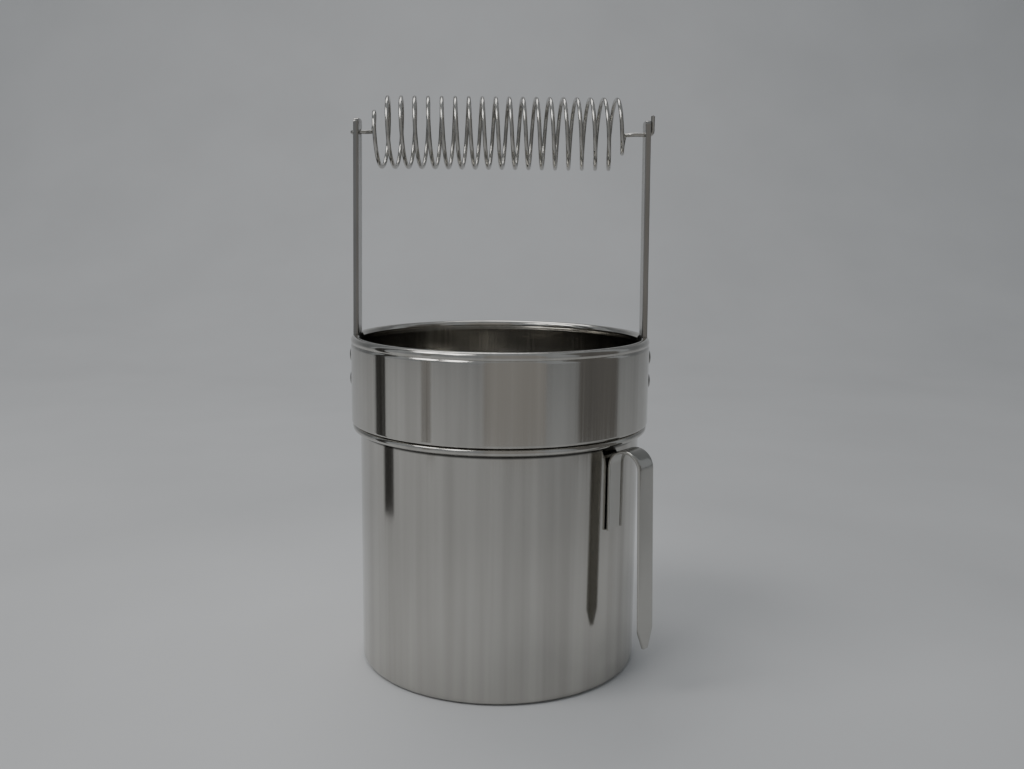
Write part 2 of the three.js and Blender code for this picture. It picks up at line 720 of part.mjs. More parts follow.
function regulatorBody() {
  const bore = capR + REG_SIDE_GAP;
  const outer = bore + REG_THICK;
  const top = regUnderZ + REG_THICK;
  const dish = lathe([
    point(REG_HOLE_R, regUnderZ),
    point(bore, regUnderZ),
    point(bore, top - REG_SKIRT_H),
    point(outer, top - REG_SKIRT_H),
    point(outer, regUnderZ),
    point(bore, top),
    point(REG_HOLE_R, top),
  ], MEDIUM, true);
  const hole = roundBar(PIN_HOLE_R, 4 * REG_THICK, SMALL);
  return dish.subtract(hole.translate([SHUTTER_PIVOT, 0, regUnderZ - REG_THICK]));
}

// A disc over the flame opening, drawn out to an ear at the pin, with a finger tab opposite.
function shutter() {
  const tangent = THREE.MathUtils.radToDeg(Math.acos((shutterR - SHUTTER_EAR_R) / SHUTTER_PIVOT));
  const outline = [
    ...arc(0, 0, shutterR, tangent, 360 - tangent, 20),
    ...arc(SHUTTER_PIVOT, 0, SHUTTER_EAR_R, -tangent, tangent, 6),
  ];
  const hole = circle(SHUTTER_PIVOT, 0, PIN_HOLE_R, SMALL);
  const tabEnd = shutterR + SHUTTER_TAB;
  const tab = block(-tabEnd, -shutterR / 2, -SHUTTER_TAB_W / 2, SHUTTER_TAB_W / 2, 0, REG_THICK);
  return plate(outline, REG_THICK, [hole]).add(tab);
}

addPiece(burner, 'regulator_body', regulatorBody(), brass);
addPiece(burner, 'regulator_shutter', shutter(), brass).position.z = shutterZ;
const pinGrip = shutterZ + REG_THICK + GAP - (regUnderZ - GAP);
addPiece(burner, 'regulator_pin', rivet(PIN_R, PIN_HEAD_R, PIN_HEAD_H, pinGrip), brass)
  .position.set(SHUTTER_PIVOT, 0, regUnderZ - GAP);

export default stove;
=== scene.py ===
"""Looks of a nested spirit stove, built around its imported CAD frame.

Every piece is a fine mesh that stands for one CAD node of the same place and size. Lengths in the
constants below are millimetres; meshes are in metres, in the frame's own axes.
"""

import math

import bmesh
import bpy
from mathutils import Matrix, Vector


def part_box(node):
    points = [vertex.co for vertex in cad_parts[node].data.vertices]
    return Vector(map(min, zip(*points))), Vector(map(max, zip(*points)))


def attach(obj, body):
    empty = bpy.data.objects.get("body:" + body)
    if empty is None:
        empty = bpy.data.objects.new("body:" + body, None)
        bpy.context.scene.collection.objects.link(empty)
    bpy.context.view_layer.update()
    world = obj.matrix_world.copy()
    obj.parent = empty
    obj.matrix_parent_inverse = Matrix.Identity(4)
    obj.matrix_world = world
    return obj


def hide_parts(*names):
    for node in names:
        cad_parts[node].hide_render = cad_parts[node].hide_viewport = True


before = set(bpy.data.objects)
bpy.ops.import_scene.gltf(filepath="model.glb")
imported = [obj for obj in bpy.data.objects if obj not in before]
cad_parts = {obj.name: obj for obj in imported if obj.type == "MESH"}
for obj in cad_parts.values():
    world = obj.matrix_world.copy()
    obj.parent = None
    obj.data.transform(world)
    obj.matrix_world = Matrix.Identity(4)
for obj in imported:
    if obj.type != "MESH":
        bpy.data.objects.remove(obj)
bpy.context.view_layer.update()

MM = 0.001

# ---------------------------------------------------------------- sheet and wire sizes, millimetres

SHEET = 0.8  # wall of both pots, the lid and the stand
GAP = 0.3  # clearance between two pieces that touch on the bench
BEAD_R = 1.8  # outer pot's rolled bead
BEAD_PROUD = 3.9  # how far the bead stands out from the outer pot's wall
RIM_R = 2.3  # inner pot's rolled rim
POT_SLACK = 3.8  # gap between the outer pot's wall and the inner pot's lower half
POT_CORNER = 3.0  # round between wall and floor
STEP_CORNER = 1.0
STRAP_HALF_WIDTH = 6.0
STRAP_LIP = 1.5  # depth of the side handle's turned edges
STRAP_LIP_R = 0.35
STRAP_EDGE_R = 0.6
STRAP_SHEET = 0.7
STRAP_TAPER = 9.0  # length of the pointed end
STRAP_TIP = 3.5  # width of its tip
STRAP_FOOT = 31.0  # length of the leg that is fixed to the pot
STRAP_AZIMUTH = -39.0  # degrees from +X
STRAP_REACH = 17.9  # from the fixed leg to the free one
STRAP_SPLAY = 2.5  # how much further out the free leg's tip stands
ARM_THICK = 2.6
ARM_LEAN = 1.2  # how far the arms' tops lean inwards
ARM_BEVEL = 0.35
ARM_CORNER = 2.5
NOTCH_GAP = 0.25  # beyond the arm's outer face, in the notch through the rim
NOTCH_SIDE_GAP = 0.5
RIVET_DROPS = {"upper": 11.0, "lower": 23.0}  # below the rim
GRIP_DROP = 6.5  # of the grip's axis below the arms' tops
WIRE_HOLE_R = 1.5
GRIP_WIRE = 1.0
GRIP_TURNS = 19
GRIP_TAILS = (5.5, 9.0)  # straight ends inside the left and the right arm
GRIP_HOOK = 9.0
GRIP_HOOK_BEND = 1.9
RING_WIRE = 1.5
RING_CORNER = 7.0
LID_RISE = 5.0
LID_SLOPE = 4.0
LID_BRIM = 6.3
JET_COUNT = 16
JET_R = 0.8
JET_BAND = 8.2  # from the burner's neck in to its inner wall
TRAY_HOLE_R = 4.0
STAND_SEAT = 8.0  # width of the ledges at the stand's top and bottom
PIVOT_X = 26.0  # of the regulator's pin
PIVOT_HOLE_R = 1.5

FINE = 256  # sides of the pots
MEDIUM = 128  # sides of the burner's pieces
ARC_STEP = 15.0  # degrees between the points of an arc
YZ_TO_XY = ((0, 0, 1), (1, 0, 0), (0, 1, 0))  # turns a drawing in XY to stand in YZ


def node_box(name):
    """Lowest and highest corner of a CAD node, in millimetres."""
    low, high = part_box(name)
    return low / MM, high / MM


# ---------------------------------------------------------------- outlines

def arc(x, y, radius, start, end):
    """Points of an arc in (r, z), from one angle to another in degrees."""
    steps = max(2, round(abs(end - start) / ARC_STEP))
    angles = [math.radians(start + (end - start) * i / steps) for i in range(steps + 1)]
    return [(x + radius * math.cos(a), y + radius * math.sin(a)) for a in angles]


def rounded(points, radius):
    """The same open path with an arc at each inner corner, so that sheet bends instead of creasing."""
    path = [points[0]]
    for before, corner, after in zip(points, points[1:], points[2:]):
        corner_v = Vector(corner)
        to_before = Vector(before) - corner_v
        to_after = Vector(after) - corner_v
        reach = min(radius, to_before.length * 0.45, to_after.length * 0.45)
        first = corner_v + to_before.normalized() * reach
        last = corner_v + to_after.normalized() * reach
        for i in range(5):
            t = i / 4
            mix = first * (1 - t) ** 2 + corner_v * 2 * t * (1 - t) + last * t ** 2
            path.append((mix.x, mix.y))
    path.append(points[-1])
    return path


def sheet_outline(path, thickness, round_start=False, round_end=True):
    """The closed outline of a sheet whose middle follows a path, with round free edges."""
    half = thickness / 2
    normals = []
    for i in range(len(path)):
        a = Vector(path[max(0, i - 1)])
        b = Vector(path[min(len(path) - 1, i + 1)])
        along = (b - a).normalized()
        normals.append(Vector((along.y, -along.x)))
    right = [Vector(p) + n * half for p, n in zip(path, normals)]
    left = [Vector(p) - n * half for p, n in zip(path, normals)]
    outline = [tuple(p) for p in right]
    if round_end:
        angle = math.degrees(math.atan2(normals[-1].y, normals[-1].x))
        outline += arc(*path[-1], half, angle, angle + 180)[1:-1]
    outline += [tuple(p) for p in reversed(left)]
    if round_start:
        angle = math.degrees(math.atan2(-normals[0].y, -normals[0].x))
        outline += arc(*path[0], half, angle, angle + 180)[1:-1]
    return outline


# ---------------------------------------------------------------- mesh builders

def link(name, data):
    obj = bpy.data.objects.new(name, data)
    bpy.context.scene.collection.objects.link(obj)
    return obj


def clean(mesh, merge):
    """Joins points that coincide and turns all faces outwards."""
    bm = bmesh.new()
    bm.from_mesh(mesh)
    bmesh.ops.remove_doubles(bm, verts=bm.verts, dist=merge)
    bmesh.ops.recalc_face_normals(bm, faces=bm.faces)
    bm.to_mesh(mesh)
    bm.free()


def move(mesh, place):
    """Moves a mesh by a matrix that is in millimetres."""
    mesh.transform(Matrix.Scale(1 / MM, 4))
    mesh.transform(place)
    mesh.transform(Matrix.Scale(MM, 4))


def make_object(name, verts, faces, sharp=40):
    mesh = bpy.data.meshes.new(name)
    mesh.from_pydata([Vector(v) * MM for v in verts], [], faces)
    clean(mesh, 1e-7)
    smooth(mesh, sharp)
    return link(name, mesh)


def smooth(mesh, sharp):
    mesh.polygons.foreach_set("use_smooth", [True] * len(mesh.polygons))
    mesh.set_sharp_from_angle(angle=math.radians(sharp))


def held(outline):
    """Adds points near both ends of each long straight run, so that its shading stays straight."""
    near, long_run = 0.4, 3.0
    points = []
    for a, b in zip(outline, outline[1:] + outline[:1]):
        points.append(a)
        length = math.dist(a, b)
        if length > long_run and max(a[0], b[0]) > near:
            points += [(a[0] + (b[0] - a[0]) * t, a[1] + (b[1] - a[1]) * t)
                       for t in (near / length, 1 - near / length)]
    return points


def lathe(name, outline, sides=FINE, sharp=40):
    """Turns a closed (r, z) outline about Z. Points on the axis become poles."""
    on_axis = 1e-6
    verts, rings = [], []
    for r, z in held(outline):
        if r < on_axis:
            rings.append([len(verts)] * sides)
            verts.append((0, 0, z))
            continue
        rings.append(list(range(len(verts), len(verts) + sides)))
        verts += [(r * math.cos(a), r * math.sin(a), z) for a in ring_of(sides)]
    faces = []
    for a, b in zip(rings, rings[1:] + rings[:1]):
        for i in range(sides):
            j = (i + 1) % sides
            corners = list(dict.fromkeys((a[i], a[j], b[j], b[i])))
            if len(corners) > 2:
                faces.append(corners)
    return make_object(name, verts, faces, sharp)


def tube(name, points, radius, sides=16, closed=False):
    """A round wire along a path, with domed ends."""
    points = [Vector(p) for p in points]
    count = len(points)
    tangents = []
    for i in range(count):
        a = points[i - 1] if closed or i > 0 else points[0]
        b = points[(i + 1) % count] if closed or i < count - 1 else points[-1]
        tangents.append((b - a).normalized())
    side = tangents[0].orthogonal().normalized()
    verts, faces = [], []
    for i, (p, t) in enumerate(zip(points, tangents)):
        side = (side - t * side.dot(t)).normalized()
        other = t.cross(side)
        verts += [p + (side * math.cos(a) + other * math.sin(a)) * radius for a in ring_of(sides)]
    spans = count if closed else count - 1
    twist = 0
    if closed:
        first = verts[0] - points[0]
        side = (side - tangents[0] * side.dot(tangents[0])).normalized()
        other = tangents[0].cross(side)
        angle = math.atan2(first.dot(other), first.dot(side))
        twist = round(angle / (2 * math.pi) * sides)
    for i in range(spans):
        j = (i + 1) % count
        shift = -twist if closed and j == 0 else 0
        for k in range(sides):
            m = (k + 1) % sides
            faces.append((
                i * sides + k, i * sides + m,
                j * sides + (m + shift) % sides, j * sides + (k + shift) % sides,
            ))
    if not closed:
        for start, sign in ((0, -1), (count - 1, 1)):
            cap = len(verts)
            verts.append(points[start] + tangents[start] * sign * radius * 0.5)
            for k in range(sides):
                faces.append((start * sides + k, start * sides + (k + 1) % sides, cap))
    return make_object(name, verts, faces, 60)


def flat_piece(name, outline, holes, thickness, bevel, place):
    """A plate with holes and softened edges, drawn in XY, centred on z = 0, then placed by a matrix."""
    curve = bpy.data.curves.new(name, "CURVE")
    curve.dimensions = "2D"
    curve.fill_mode = "BOTH"
    curve.extrude = (thickness / 2 - bevel) * MM
    curve.bevel_depth = bevel * MM
    curve.bevel_resolution = 2
    curve.offset = -bevel * MM
    for loop in [outline, *holes]:
        spline = curve.splines.new("POLY")
        spline.points.add(len(loop) - 1)
        spline.use_cyclic_u = True
        for point, (x, y) in zip(spline.points, loop):
            point.co = (x * MM, y * MM, 0, 1)
    maker = link(name + "_outline", curve)
    bpy.context.view_layer.update()
    mesh = bpy.data.meshes.new_from_object(maker.evaluated_get(bpy.context.evaluated_depsgraph_get()))
    bpy.data.objects.remove(maker)
    bpy.data.curves.remove(curve)
    move(mesh, place)
    clean(mesh, 2e-6)
    mesh.name = name
    smooth(mesh, 30)
    return link(name, mesh)


def cut(obj, cutters):
    """Cuts holes or notches out of a piece; the cutters are used up."""
    cutter = cutters[0]
    if len(cutters) > 1:
        with bpy.context.temp_override(active_object=cutter, selected_editable_objects=cutters):
            bpy.ops.object.join()
    modifier = obj.modifiers.new("cut", "BOOLEAN")
    modifier.operation = "DIFFERENCE"
    modifier.solver = "EXACT"
    modifier.object = cutter
    mesh = bpy.data.meshes.new_from_object(obj.evaluated_get(bpy.context.evaluated_depsgraph_get()))
    obj.modifiers.clear()
    old = obj.data
    obj.data = mesh
    bpy.data.meshes.remove(old)
    bpy.data.objects.remove(cutter)
    smooth(mesh, 40)


def bar(radius, length, place, sides=24):
    """A round bar along Z from z = 0, moved by a matrix: a cutter."""
    obj = lathe("cutter", [(0, 0), (radius, 0), (radius, length), (0, length)], sides)
    move(obj.data, place)
    return obj


def ring_of(count, start=0.0):
    """Evenly spaced angles about Z, in radians; start is a share of one space."""
    return [2 * math.pi * (i + start) / count for i in range(count)]


def circle(x, y, radius, sides=32):
    return [(x + radius * math.cos(a), y + radius * math.sin(a)) for a in ring_of(sides)]


def rounded_box(x, y, width, height, corner):
    dx, dy = width / 2 - corner, height / 2 - corner
    return (
        arc(x + dx, y + dy, corner, 0, 90) + arc(x - dx, y + dy, corner, 90, 180)
        + arc(x - dx, y - dy, corner, 180, 270) + arc(x + dx, y - dy, corner, 270, 360)
    )


def finish_piece(obj, node, body, material):
    """Puts a piece on its body, in place of its CAD node, with its material."""
    obj.data.materials.clear()
    obj.data.materials.append(material)
    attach(obj, body)
    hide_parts(node)
    return obj


# ---------------------------------------------------------------- materials

def new_material(name):
    material = bpy.data.materials.new(name)
    material.use_nodes = True
    tree = material.node_tree
    shader = tree.nodes["Principled BSDF"]
    return material, tree, shader


def add(tree, kind, **values):
    node = tree.nodes.new(kind)
    for key, value in values.items():
        if hasattr(node, key):
            setattr(node, key, value)
        else:
            node.inputs[key.replace("_", " ")].default_value = value
    return node


def noise_at(tree, scale, stretch, detail=3.0):
    """Noise in the object's own coordinates; stretch is how many times per metre along x, y, z."""
    coords = add(tree, "ShaderNodeTexCoord")
    mapping = add(tree, "ShaderNodeMapping")
    mapping.inputs["Scale"].default_value = stretch
    noise = add(tree, "ShaderNodeTexNoise")
    noise.inputs["Scale"].default_value = scale
    noise.inputs["Detail"].default_value = detail
    tree.links.new(coords.outputs["Object"], mapping.inputs["Vector"])
    tree.links.new(mapping.outputs["Vector"], noise.inputs["Vector"])
    return noise.outputs["Fac"]


def noise_by_radius(tree, scale):
    """Fine rings about the Z axis, as a spinning lathe leaves."""
    coords = add(tree, "ShaderNodeTexCoord")
    parts = add(tree, "ShaderNodeSeparateXYZ")
    flat = add(tree, "ShaderNodeCombineXYZ")
    length = add(tree, "ShaderNodeVectorMath", operation="LENGTH")
    total = add(tree, "ShaderNodeMath", operation="ADD")
    noise = add(tree, "ShaderNodeTexNoise", noise_dimensions="1D")
    noise.inputs["Scale"].default_value = scale
    noise.inputs["Detail"].default_value = 4.0
    tree.links.new(coords.outputs["Object"], parts.inputs[0])
    tree.links.new(parts.outputs["X"], flat.inputs["X"])
    tree.links.new(parts.outputs["Y"], flat.inputs["Y"])
    tree.links.new(flat.outputs[0], length.inputs[0])
    tree.links.new(length.outputs["Value"], total.inputs[0])
    tree.links.new(parts.outputs["Z"], total.inputs[1])
    tree.links.new(total.outputs[0], noise.inputs["W"])
    return noise.outputs["Fac"]


def spread(tree, source, low, high, from_low=0.3, from_high=0.7):
    node = add(tree, "ShaderNodeMapRange")
    node.inputs["From Min"].default_value = from_low
    node.inputs["From Max"].default_value = from_high
    node.inputs["To Min"].default_value = low
    node.inputs["To Max"].default_value = high
    tree.links.new(source, node.inputs["Value"])
    return node.outputs["Result"]


def tint(tree, source, dark, light):
    ramp = add(tree, "ShaderNodeValToRGB")
    ramp.color_ramp.elements[0].position = 0.3
    ramp.color_ramp.elements[1].position = 0.7
    ramp.color_ramp.elements[0].color = (*dark, 1)
    ramp.color_ramp.elements[1].color = (*light, 1)
    tree.links.new(source, ramp.inputs["Fac"])
    return ramp.outputs["Color"]


def bump(tree, shader, source, strength, distance):
    node = add(tree, "ShaderNodeBump")
    node.inputs["Strength"].default_value = strength
    node.inputs["Distance"].default_value = distance
    tree.links.new(source, node.inputs["Height"])
    tree.links.new(node.outputs["Normal"], shader.inputs["Normal"])


def paint_shade_line(tree, colour, height):
    """The colour, darkened in a level line at a height in millimetres: painted shade, such as the shadow
    under a rolled bead.
    """
    coords = add(tree, "ShaderNodeTexCoord")
    split = add(tree, "ShaderNodeSeparateXYZ")
    tree.links.new(coords.outputs["Object"], split.inputs[0])
    above = add(tree, "ShaderNodeMath", operation="SUBTRACT")
    above.inputs[1].default_value = height * MM
    tree.links.new(split.outputs["Z"], above.inputs[0])
    away = add(tree, "ShaderNodeMath", operation="ABSOLUTE")
    tree.links.new(above.outputs["Value"], away.inputs[0])
    painted_shade_tone = spread(tree, away.outputs["Value"], 0.12, 1.0, 0.0006, 0.0014)
    shade = add(tree, "ShaderNodeVectorMath", operation="SCALE")
    tree.links.new(colour, shade.inputs[0])
    tree.links.new(painted_shade_tone, shade.inputs["Scale"])
    return shade.outputs["Vector"]


def metal(name, dark, light, rough, streaks, smudge=(35, 35, 20), bump_depth=2e-6, painted_shade_z=None):
    """A metal with a fine grain for its roughness and bump, and broad smudges in its colour.
    A height given as the last argument gets a thin line of painted shade there, in millimetres."""
    material, tree, shader = new_material(name)
    shader.inputs["Metallic"].default_value = 1.0
    grain = streaks(tree)
    smudges = noise_at(tree, 1.0, smudge, 2.0)
    colour = tint(tree, smudges, dark, light)
    if painted_shade_z is not None:
        colour = paint_shade_line(tree, colour, painted_shade_z)
    tree.links.new(colour, shader.inputs["Base Color"])
    tree.links.new(spread(tree, grain, *rough), shader.inputs["Roughness"])
    bump(tree, shader, grain, 0.5, bump_depth)
    return material


def upright_grain(tree):
    return noise_at(tree, 1.0, (900, 900, 6), 4.0)


def strap_grain(tree):
    return noise_at(tree, 1.0, (1500, 1500, 30), 3.0)


def turned_grain(tree):
    return noise_by_radius(tree, 1400)


def wire_grain(tree):
    return noise_at(tree, 1.0, (700, 700, 700), 3.0)


def cloth(name, dark, light):
    material, tree, shader = new_material(name)
    fibres = noise_at(tree, 1.0, (900, 900, 260), 6.0)
    tree.links.new(tint(tree, fibres, dark, light), shader.inputs["Base Color"])
    shader.inputs["Roughness"].default_value = 0.95
    bump(tree, shader, fibres, 0.8, 3e-4)
    return material


def elastomer(name, dark, light):
    material, tree, shader = new_material(name)
    grain = noise_at(tree, 1.0, (1200, 1200, 1200), 3.0)
    tree.links.new(tint(tree, grain, dark, light), shader.inputs["Base Color"])
    tree.links.new(spread(tree, grain, 0.5, 0.7), shader.inputs["Roughness"])
    bump(tree, shader, grain, 0.3, 3e-5)
    return material


DRUM = metal("drum_steel", (0.47, 0.455, 0.425), (0.57, 0.555, 0.52), (0.07, 0.16), upright_grain,
             smudge=(150, 150, 3))
LID_STEEL = metal("lid_steel", (0.50, 0.49, 0.465), (0.58, 0.57, 0.54), (0.10, 0.22), turned_grain)
HANDLE = metal("handle_steel", (0.45, 0.44, 0.41), (0.52, 0.51, 0.48), (0.09, 0.17), strap_grain)
STRIP = metal("strip_steel", (0.31, 0.30, 0.285), (0.38, 0.37, 0.35), (0.16, 0.28), strap_grain)
WIRE = metal("wire_steel", (0.42, 0.41, 0.385), (0.50, 0.485, 0.455), (0.12, 0.22), wire_grain)
BRASS = metal("spun_brass", (0.62, 0.44, 0.19), (0.74, 0.56, 0.27), (0.16, 0.32), turned_grain,
              bump_depth=4e-6)
FELT = cloth("wick_felt", (0.55, 0.50, 0.40), (0.80, 0.75, 0.64))
GASKET = elastomer("gasket_rubber", (0.035, 0.022, 0.018), (0.07, 0.045, 0.035))


# ---------------------------------------------------------------- outer pot

outer_high = node_box("outer_pot")[1]
BEAD_EDGE = outer_high.x
OUTER_TOP = outer_high.z
OUTER_R = BEAD_EDGE - BEAD_PROUD
# The outer pot's steel carries a thin line of painted shade just under the bead, where the bead's
# underside shades the wall.
UNDER_BEAD = OUTER_TOP - 2 * BEAD_R - 0.5
OUTER_DRUM_WITH_PAINTED_SHADE = metal("outer_drum_steel_painted_shade_line", (0.46, 0.445, 0.415), (0.56, 0.545, 0.51), (0.07, 0.16),
                   upright_grain, smudge=(150, 150, 3), painted_shade_z=UNDER_BEAD)


def pot_floor(mid_r, floor_mid):
    """The middle of a drawn pot's floor and its corner, from the axis outwards."""
    corner = POT_CORNER - SHEET / 2
    return [(0, floor_mid), (mid_r * 0.5, floor_mid)] + arc(
        mid_r - corner, floor_mid + corner, corner, -90, 0)


def build_outer_pot():
    outer_mid = OUTER_R - SHEET / 2
    bead_z = OUTER_TOP - BEAD_R
    roll = BEAD_R - SHEET / 2
    path = pot_floor(outer_mid, SHEET / 2)
    path += arc(outer_mid + roll, bead_z, roll, 180, 90)
    path += arc(BEAD_EDGE - BEAD_R, bead_z, roll, 90, -120)
    return lathe("outer_pot_shell", sheet_outline(path, SHEET))


finish_piece(build_outer_pot(), "outer_pot", "outer_pot", OUTER_DRUM_WITH_PAINTED_SHADE)


# ---------------------------------------------------------------- side handle

def strap_path(bend_z, tip_z):
    """The hairpin in (x, z): fixed leg, bend, free leg and the stations of its taper."""
    foot_x = OUTER_R + GAP
    bend = STRAP_REACH / 2
    centre = foot_x + bend
    path = [(foot_x, bend_z - drop) for drop in (STRAP_FOOT, STRAP_FOOT - 1, 18, 6)]
    path += [(centre - bend * math.cos(math.radians(a)), bend_z + bend * math.sin(math.radians(a)))
             for a in range(0, 181, 6)]
    levels = [bend_z - 12, bend_z - 30, bend_z - 55, tip_z + STRAP_TAPER + 2]
    levels += [tip_z + STRAP_TAPER * share for share in (1.0, 0.85, 0.7, 0.5, 0.3, 0.15, 0.0)]
    path += [(centre + bend + STRAP_SPLAY * (bend_z - z) / (bend_z - tip_z), z) for z in levels]
    return path


def strap_section():
    """The strap's closed cross-section as (across, depth), a shallow channel."""
    half, edge, lip = STRAP_HALF_WIDTH, STRAP_EDGE_R, STRAP_LIP_R
    points = [(0.0, 0.0), (half * 0.5, 0.0), *arc(half - edge, edge, edge, -90, 0)]
    points += [(half, STRAP_LIP - lip), *arc(half - lip, STRAP_LIP - lip, lip, 20, 160)]
    points += [(half - 2 * lip, STRAP_SHEET + 0.4), (half - 2 * lip - 0.4, STRAP_SHEET)]
    points += [(half * 0.5, STRAP_SHEET), (0.0, STRAP_SHEET)]
    return points + [(-across, depth) for across, depth in reversed(points)][1:-1]


def build_side_handle():
    """A hairpin of sheet with turned-in edges, drawn in its own plane and turned to its place."""
    strap_low, strap_high = node_box("side_handle")
    tip_z = strap_low.z
    bend_z = strap_high.z - STRAP_REACH / 2
    centre = OUTER_R + GAP + STRAP_REACH / 2
    path = strap_path(bend_z, tip_z)
    ring = strap_section()
    verts, faces = [], []
    for i, (x, z) in enumerate(path):
        a = Vector(path[max(0, i - 1)])
        b = Vector(path[min(len(path) - 1, i + 1)])
        along = (b - a).normalized()
        inward = Vector((along.y, -along.x))
        above_tip = z - tip_z if x > centre else STRAP_TAPER
        share = min(1.0, above_tip / STRAP_TAPER)
        full = 2 * STRAP_HALF_WIDTH
        width = (STRAP_TIP + (full - STRAP_TIP) * share) / full
        for across, depth in ring:
            p = Vector((x, z)) + inward * depth
            verts.append((p.x, across * width, p.y))
    size = len(ring)
    for i in range(len(path) - 1):
        for k in range(size):
            m = (k + 1) % size
            faces.append((i * size + k, i * size + m, (i + 1) * size + m, (i + 1) * size + k))
    faces.append(tuple(range(size)))
    faces.append(tuple(range((len(path) - 1) * size, len(path) * size)))
    turn = Matrix.Rotation(math.radians(STRAP_AZIMUTH), 4, "Z")
    return make_object("side_handle_strap", [turn @ Vector(v) for v in verts], faces, 35)


finish_piece(build_side_handle(), "side_handle", "outer_pot", HANDLE)


# ---------------------------------------------------------------- inner pot and its bail

inner_low, inner_high = node_box("inner_pot")
arm_low, arm_high = node_box("bail_arm_right")
INNER_R = inner_high.y
RIM_Z = inner_high.z
STEP_Z = OUTER_TOP + GAP
LOWER_R = OUTER_R - SHEET - POT_SLACK
ARM_WIDTH = arm_high.y - arm_low.y
ARM_OUTER = arm_high.x
ARM_RISE = arm_high.z - RIM_Z
GRIP_Z = arm_high.z - GRIP_DROP
GRIP_LEAN = ARM_LEAN * (GRIP_Z - RIM_Z) / ARM_RISE


def rim_notch(side):
    """A box that cuts the rim away where an arm passes down inside the pot."""
    near, far = INNER_R - 3 * RIM_R, ARM_OUTER + NOTCH_GAP
    half = ARM_WIDTH / 2 + NOTCH_SIDE_GAP
    x0, x1 = sorted((side * near, side * far))
    outline = [(x0, -half), (x1, -half), (x1, half), (x0, half)]
    verts = [(x, y, z) for z in (RIM_Z - 2.5 * RIM_R, RIM_Z + 1) for x, y in outline]
    faces = [(3, 2, 1, 0), (4, 5, 6, 7), (0, 1, 5, 4), (1, 2, 6, 5), (2, 3, 7, 6), (3, 0, 4, 7)]
    return make_object("cutter", verts, faces)


def build_inner_pot():
    lower_mid = LOWER_R - SHEET / 2
    upper_mid = INNER_R - SHEET / 2
    step_mid = STEP_Z + SHEET / 2
    turn = STEP_CORNER - SHEET / 2
    roll = RIM_R - SHEET / 2
    path = pot_floor(lower_mid, inner_low.z + SHEET / 2)
    path += arc(lower_mid + turn, step_mid - turn, turn, 180, 90)
    path += arc(upper_mid - turn, step_mid + turn, turn, -90, 0)
    crease = RIM_Z - 2 * RIM_R + 0.3
    path += [(upper_mid - inset, crease + rise)
             for inset, rise in ((0, -0.5), (0.15, -0.15), (0.45, 0.2))]
    path += arc(INNER_R - RIM_R, RIM_Z - RIM_R, roll, -45, 225)
    pot = lathe("inner_pot_shell", sheet_outline(path, SHEET))
    cut(pot, [rim_notch(side) for side in (-1, 1)])
    return pot


def build_arm(side, name):
    """A flat strip with softened edges, a wire hole near its top, leaning inwards above the rim."""
    low, high = node_box(f"bail_arm_{name}")
    middle = (low.z + high.z) / 2
    outline = rounded_box(0, middle, ARM_WIDTH, high.z - low.z, ARM_CORNER)
    middle_x = side * (ARM_OUTER - ARM_THICK / 2)
    place = Matrix.Translation((middle_x, 0, 0)) @ Matrix(YZ_TO_XY).to_4x4()
    arm = flat_piece(f"bail_arm_{name}_strip", outline, [circle(0, GRIP_Z, WIRE_HOLE_R)], ARM_THICK,
                     ARM_BEVEL, place)
    bend = 3  # half the height of the bend at the rim
    bm = bmesh.new()
    bm.from_mesh(arm.data)
    for k in range(-2, 3):
        level = (RIM_Z + bend / 2 * k) * MM
        bmesh.ops.bisect_plane(bm, geom=[*bm.verts, *bm.edges, *bm.faces], dist=1e-7,
                               plane_co=(0, 0, level), plane_no=(0, 0, 1))
    for vert in bm.verts:
        over = vert.co.z / MM - RIM_Z
        eased = max(0.0, over) if abs(over) > bend else (over + bend) ** 2 / (4 * bend)
        vert.co.x -= side * ARM_LEAN * eased / ARM_RISE * MM
    bm.to_mesh(arm.data)
    bm.free()
    smooth(arm.data, 30)
    return arm


def build_rivet(name, node, axis):
    """A rivet with a flat near head and a domed far head, along X or Z."""
    low, high = node_box(node)
    small = axis == "Z"
    head = (high.y - low.y) / 2
    head_h, shank = (0.8, 1.2) if small else (1.1, 1.6)
    length = (high.z - low.z) if small else (high.x - low.x)
    dome = [(head * math.cos(math.radians(a)), length - head_h + head_h * math.sin(math.radians(a)))
            for a in range(0, 90, 10)]
    outline = [(0, 0)] + arc(head - head_h / 2, head_h / 2, head_h / 2, -90, 90)
    outline += [(shank, head_h), (shank, length - head_h)] + dome + [(0, length)]
    obj = lathe(name, outline, 48)
    centre = (low + high) / 2
    if small:
        place = Matrix.Translation(Vector((centre.x, centre.y, low.z)))
    else:
        side = 1 if centre.x > 0 else -1
        start = low.x if side > 0 else high.x
        place = Matrix.Translation(Vector((start, 0, centre.z))) @ Matrix.Rotation(
            side * math.pi / 2, 4, "Y")
    move(obj.data, place)
    return obj


